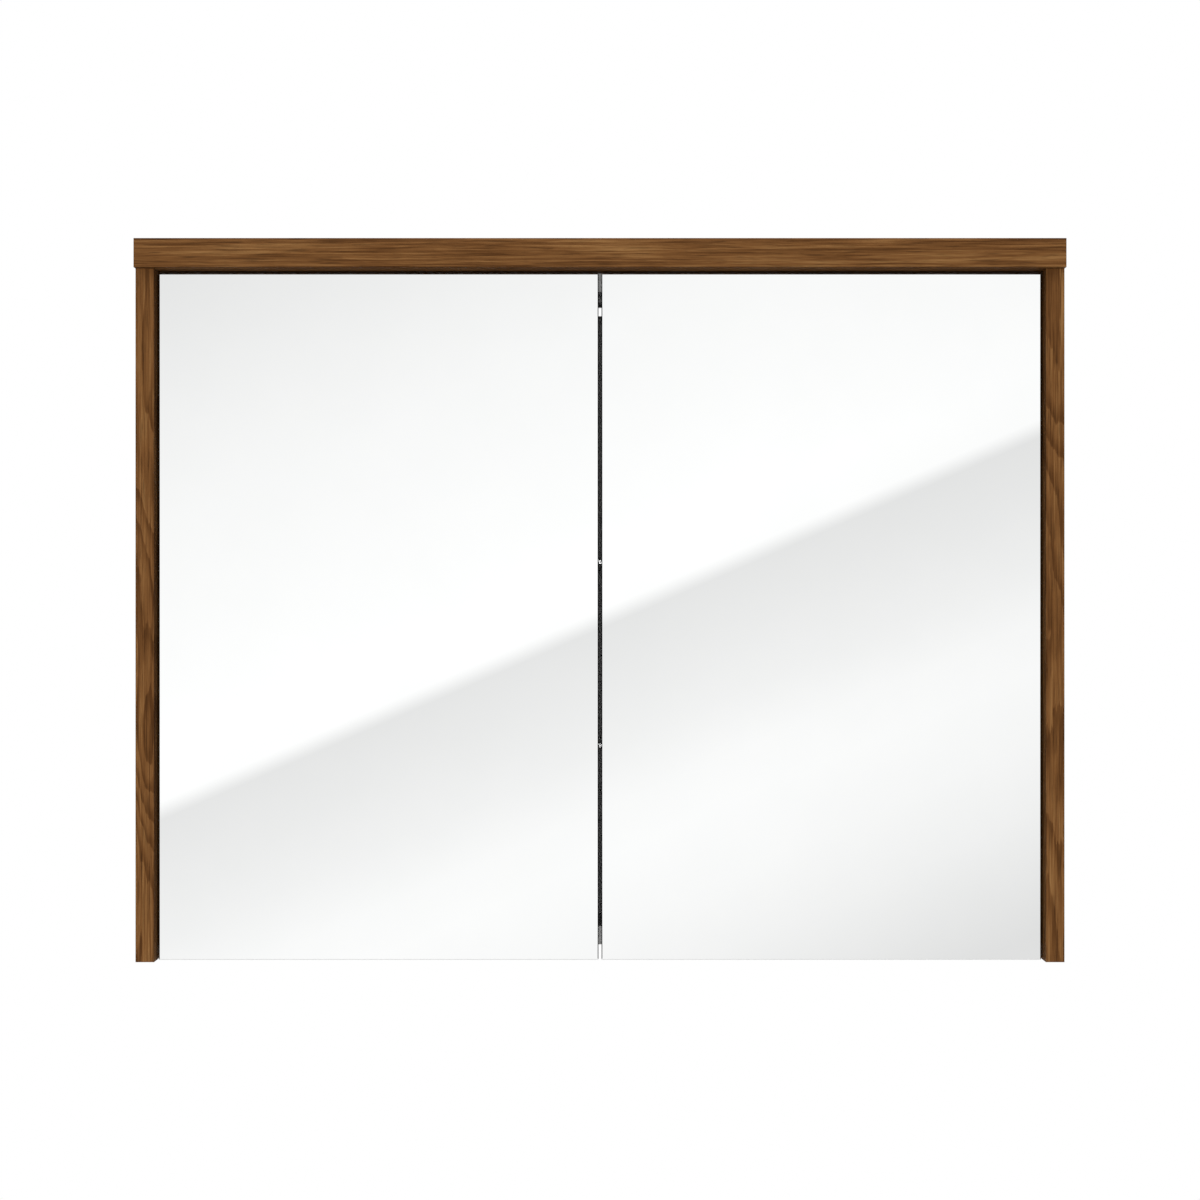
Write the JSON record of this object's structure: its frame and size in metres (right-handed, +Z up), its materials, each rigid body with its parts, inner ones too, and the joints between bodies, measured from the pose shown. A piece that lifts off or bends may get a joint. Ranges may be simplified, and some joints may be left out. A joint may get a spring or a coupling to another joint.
{
  "type": "mirror cabinet",
  "caption": "Wall-hung mirror cabinet with mirrored doors on concealed hinges, a walnut surround, a grey carcass, glass shelves and adjustable wall hangers.",
  "frame": {"origin": "middle of the four wall-screw holes, on the wall plane", "axes": "+X to the right as seen from the front, +Y from the doors back to the wall, +Z up"},
  "size_m": [0.9, 0.16, 0.7],
  "materials": {
    "walnut": "satin oiled walnut veneer with straight grain",
    "grey_board": "matt grey melamine board",
    "silvered_mirror": "silvered float glass with ground edges",
    "shelf_glass": "clear toughened glass with ground edges",
    "nickel_steel": "nickel-plated pressed steel",
    "pin_steel": "bright drawn steel",
    "screw_steel": "zinc-plated steel",
    "hanger_steel": "zinc-plated strip steel",
    "beech": "plain beech",
    "grey_plastic": "moulded grey plastic",
    "clear_buffer": "soft clear silicone"
  },
  "bodies": {
    "cabinet": {"surround_top": "walnut", "surround_side_left": "walnut", "surround_side_right": "walnut", "carcass_top": "grey_board", "carcass_bottom": "grey_board", "carcass_side_left": "grey_board", "carcass_side_right": "grey_board", "back_panel": "grey_board", "shelf_upper": "shelf_glass", "shelf_lower": "shelf_glass", "hinge_plates_left": "nickel_steel", "hinge_plates_right": "nickel_steel", "hinge_arms_left": "nickel_steel", "hinge_arms_right": "nickel_steel", "shelf_supports": "nickel_steel", "arm_pins_left": "pin_steel", "arm_pins_right": "pin_steel", "closing_springs_left": "pin_steel", "closing_springs_right": "pin_steel", "surround_screws": "screw_steel", "plate_screws_left": "screw_steel", "plate_screws_right": "screw_steel", "arm_screws_left": "screw_steel", "arm_screws_right": "screw_steel", "hanger_adjusters": "screw_steel", "wall_plate_left": "hanger_steel", "wall_plate_right": "hanger_steel", "hanger_case_left": "hanger_steel", "hanger_case_right": "hanger_steel", "hanger_hook_left": "hanger_steel", "hanger_hook_right": "hanger_steel", "carcass_dowels": "beech", "cable_grommet": "grey_plastic", "screw_caps": "grey_plastic", "hanger_cover_left": "grey_plastic", "hanger_cover_right": "grey_plastic"},
    "left_outer_links": {"outer_links_left": "nickel_steel"},
    "left_inner_links": {"inner_links_left": "nickel_steel"},
    "right_outer_links": {"outer_links_right": "nickel_steel"},
    "right_inner_links": {"inner_links_right": "nickel_steel"},
    "left_door": {"door_board_left": "grey_board", "mirror_front_left": "silvered_mirror", "mirror_rear_left": "silvered_mirror", "door_bumpers_left": "clear_buffer", "hinge_cups_left": "nickel_steel", "cup_pins_left": "pin_steel", "cup_screws_left": "screw_steel"},
    "right_door": {"door_board_right": "grey_board", "mirror_front_right": "silvered_mirror", "mirror_rear_right": "silvered_mirror", "door_bumpers_right": "clear_buffer", "hinge_cups_right": "nickel_steel", "cup_pins_right": "pin_steel", "cup_screws_right": "screw_steel"}
  },
  "joints": [
    {"name": "left_outer_link_turn", "type": "hinge", "parent": "cabinet", "child": "left_outer_links", "pos_m": [-0.4021, -0.1001, 0], "axis": [0, 0, 1], "range_deg": [0, 38.1]},
    {"name": "left_inner_link_turn", "type": "hinge", "parent": "cabinet", "child": "left_inner_links", "pos_m": [-0.389, -0.1073, 0], "axis": [0, 0, 1], "range_deg": [0, 38.1]},
    {"name": "left_door_swing", "type": "hinge", "parent": "left_outer_links", "child": "left_door", "pos_m": [-0.4204, -0.1214, 0], "axis": [0, 0, -1], "range_deg": [0, 133]},
    {"name": "right_outer_link_turn", "type": "hinge", "parent": "cabinet", "child": "right_outer_links", "pos_m": [0.4021, -0.1001, 0], "axis": [0, 0, -1], "range_deg": [0, 38.1]},
    {"name": "right_inner_link_turn", "type": "hinge", "parent": "cabinet", "child": "right_inner_links", "pos_m": [0.389, -0.1073, 0], "axis": [0, 0, -1], "range_deg": [0, 38.1]},
    {"name": "right_door_swing", "type": "hinge", "parent": "right_outer_links", "child": "right_door", "pos_m": [0.4204, -0.1214, 0], "axis": [0, 0, 1], "range_deg": [0, 133]}
  ],
  "couplings": [
    {"joint": "left_outer_link_turn", "follows": "left_door_swing", "ratio": 0.28571},
    {"joint": "left_inner_link_turn", "follows": "left_door_swing", "ratio": 0.28571},
    {"joint": "right_outer_link_turn", "follows": "right_door_swing", "ratio": 0.28571},
    {"joint": "right_inner_link_turn", "follows": "right_door_swing", "ratio": 0.28571}
  ]
}
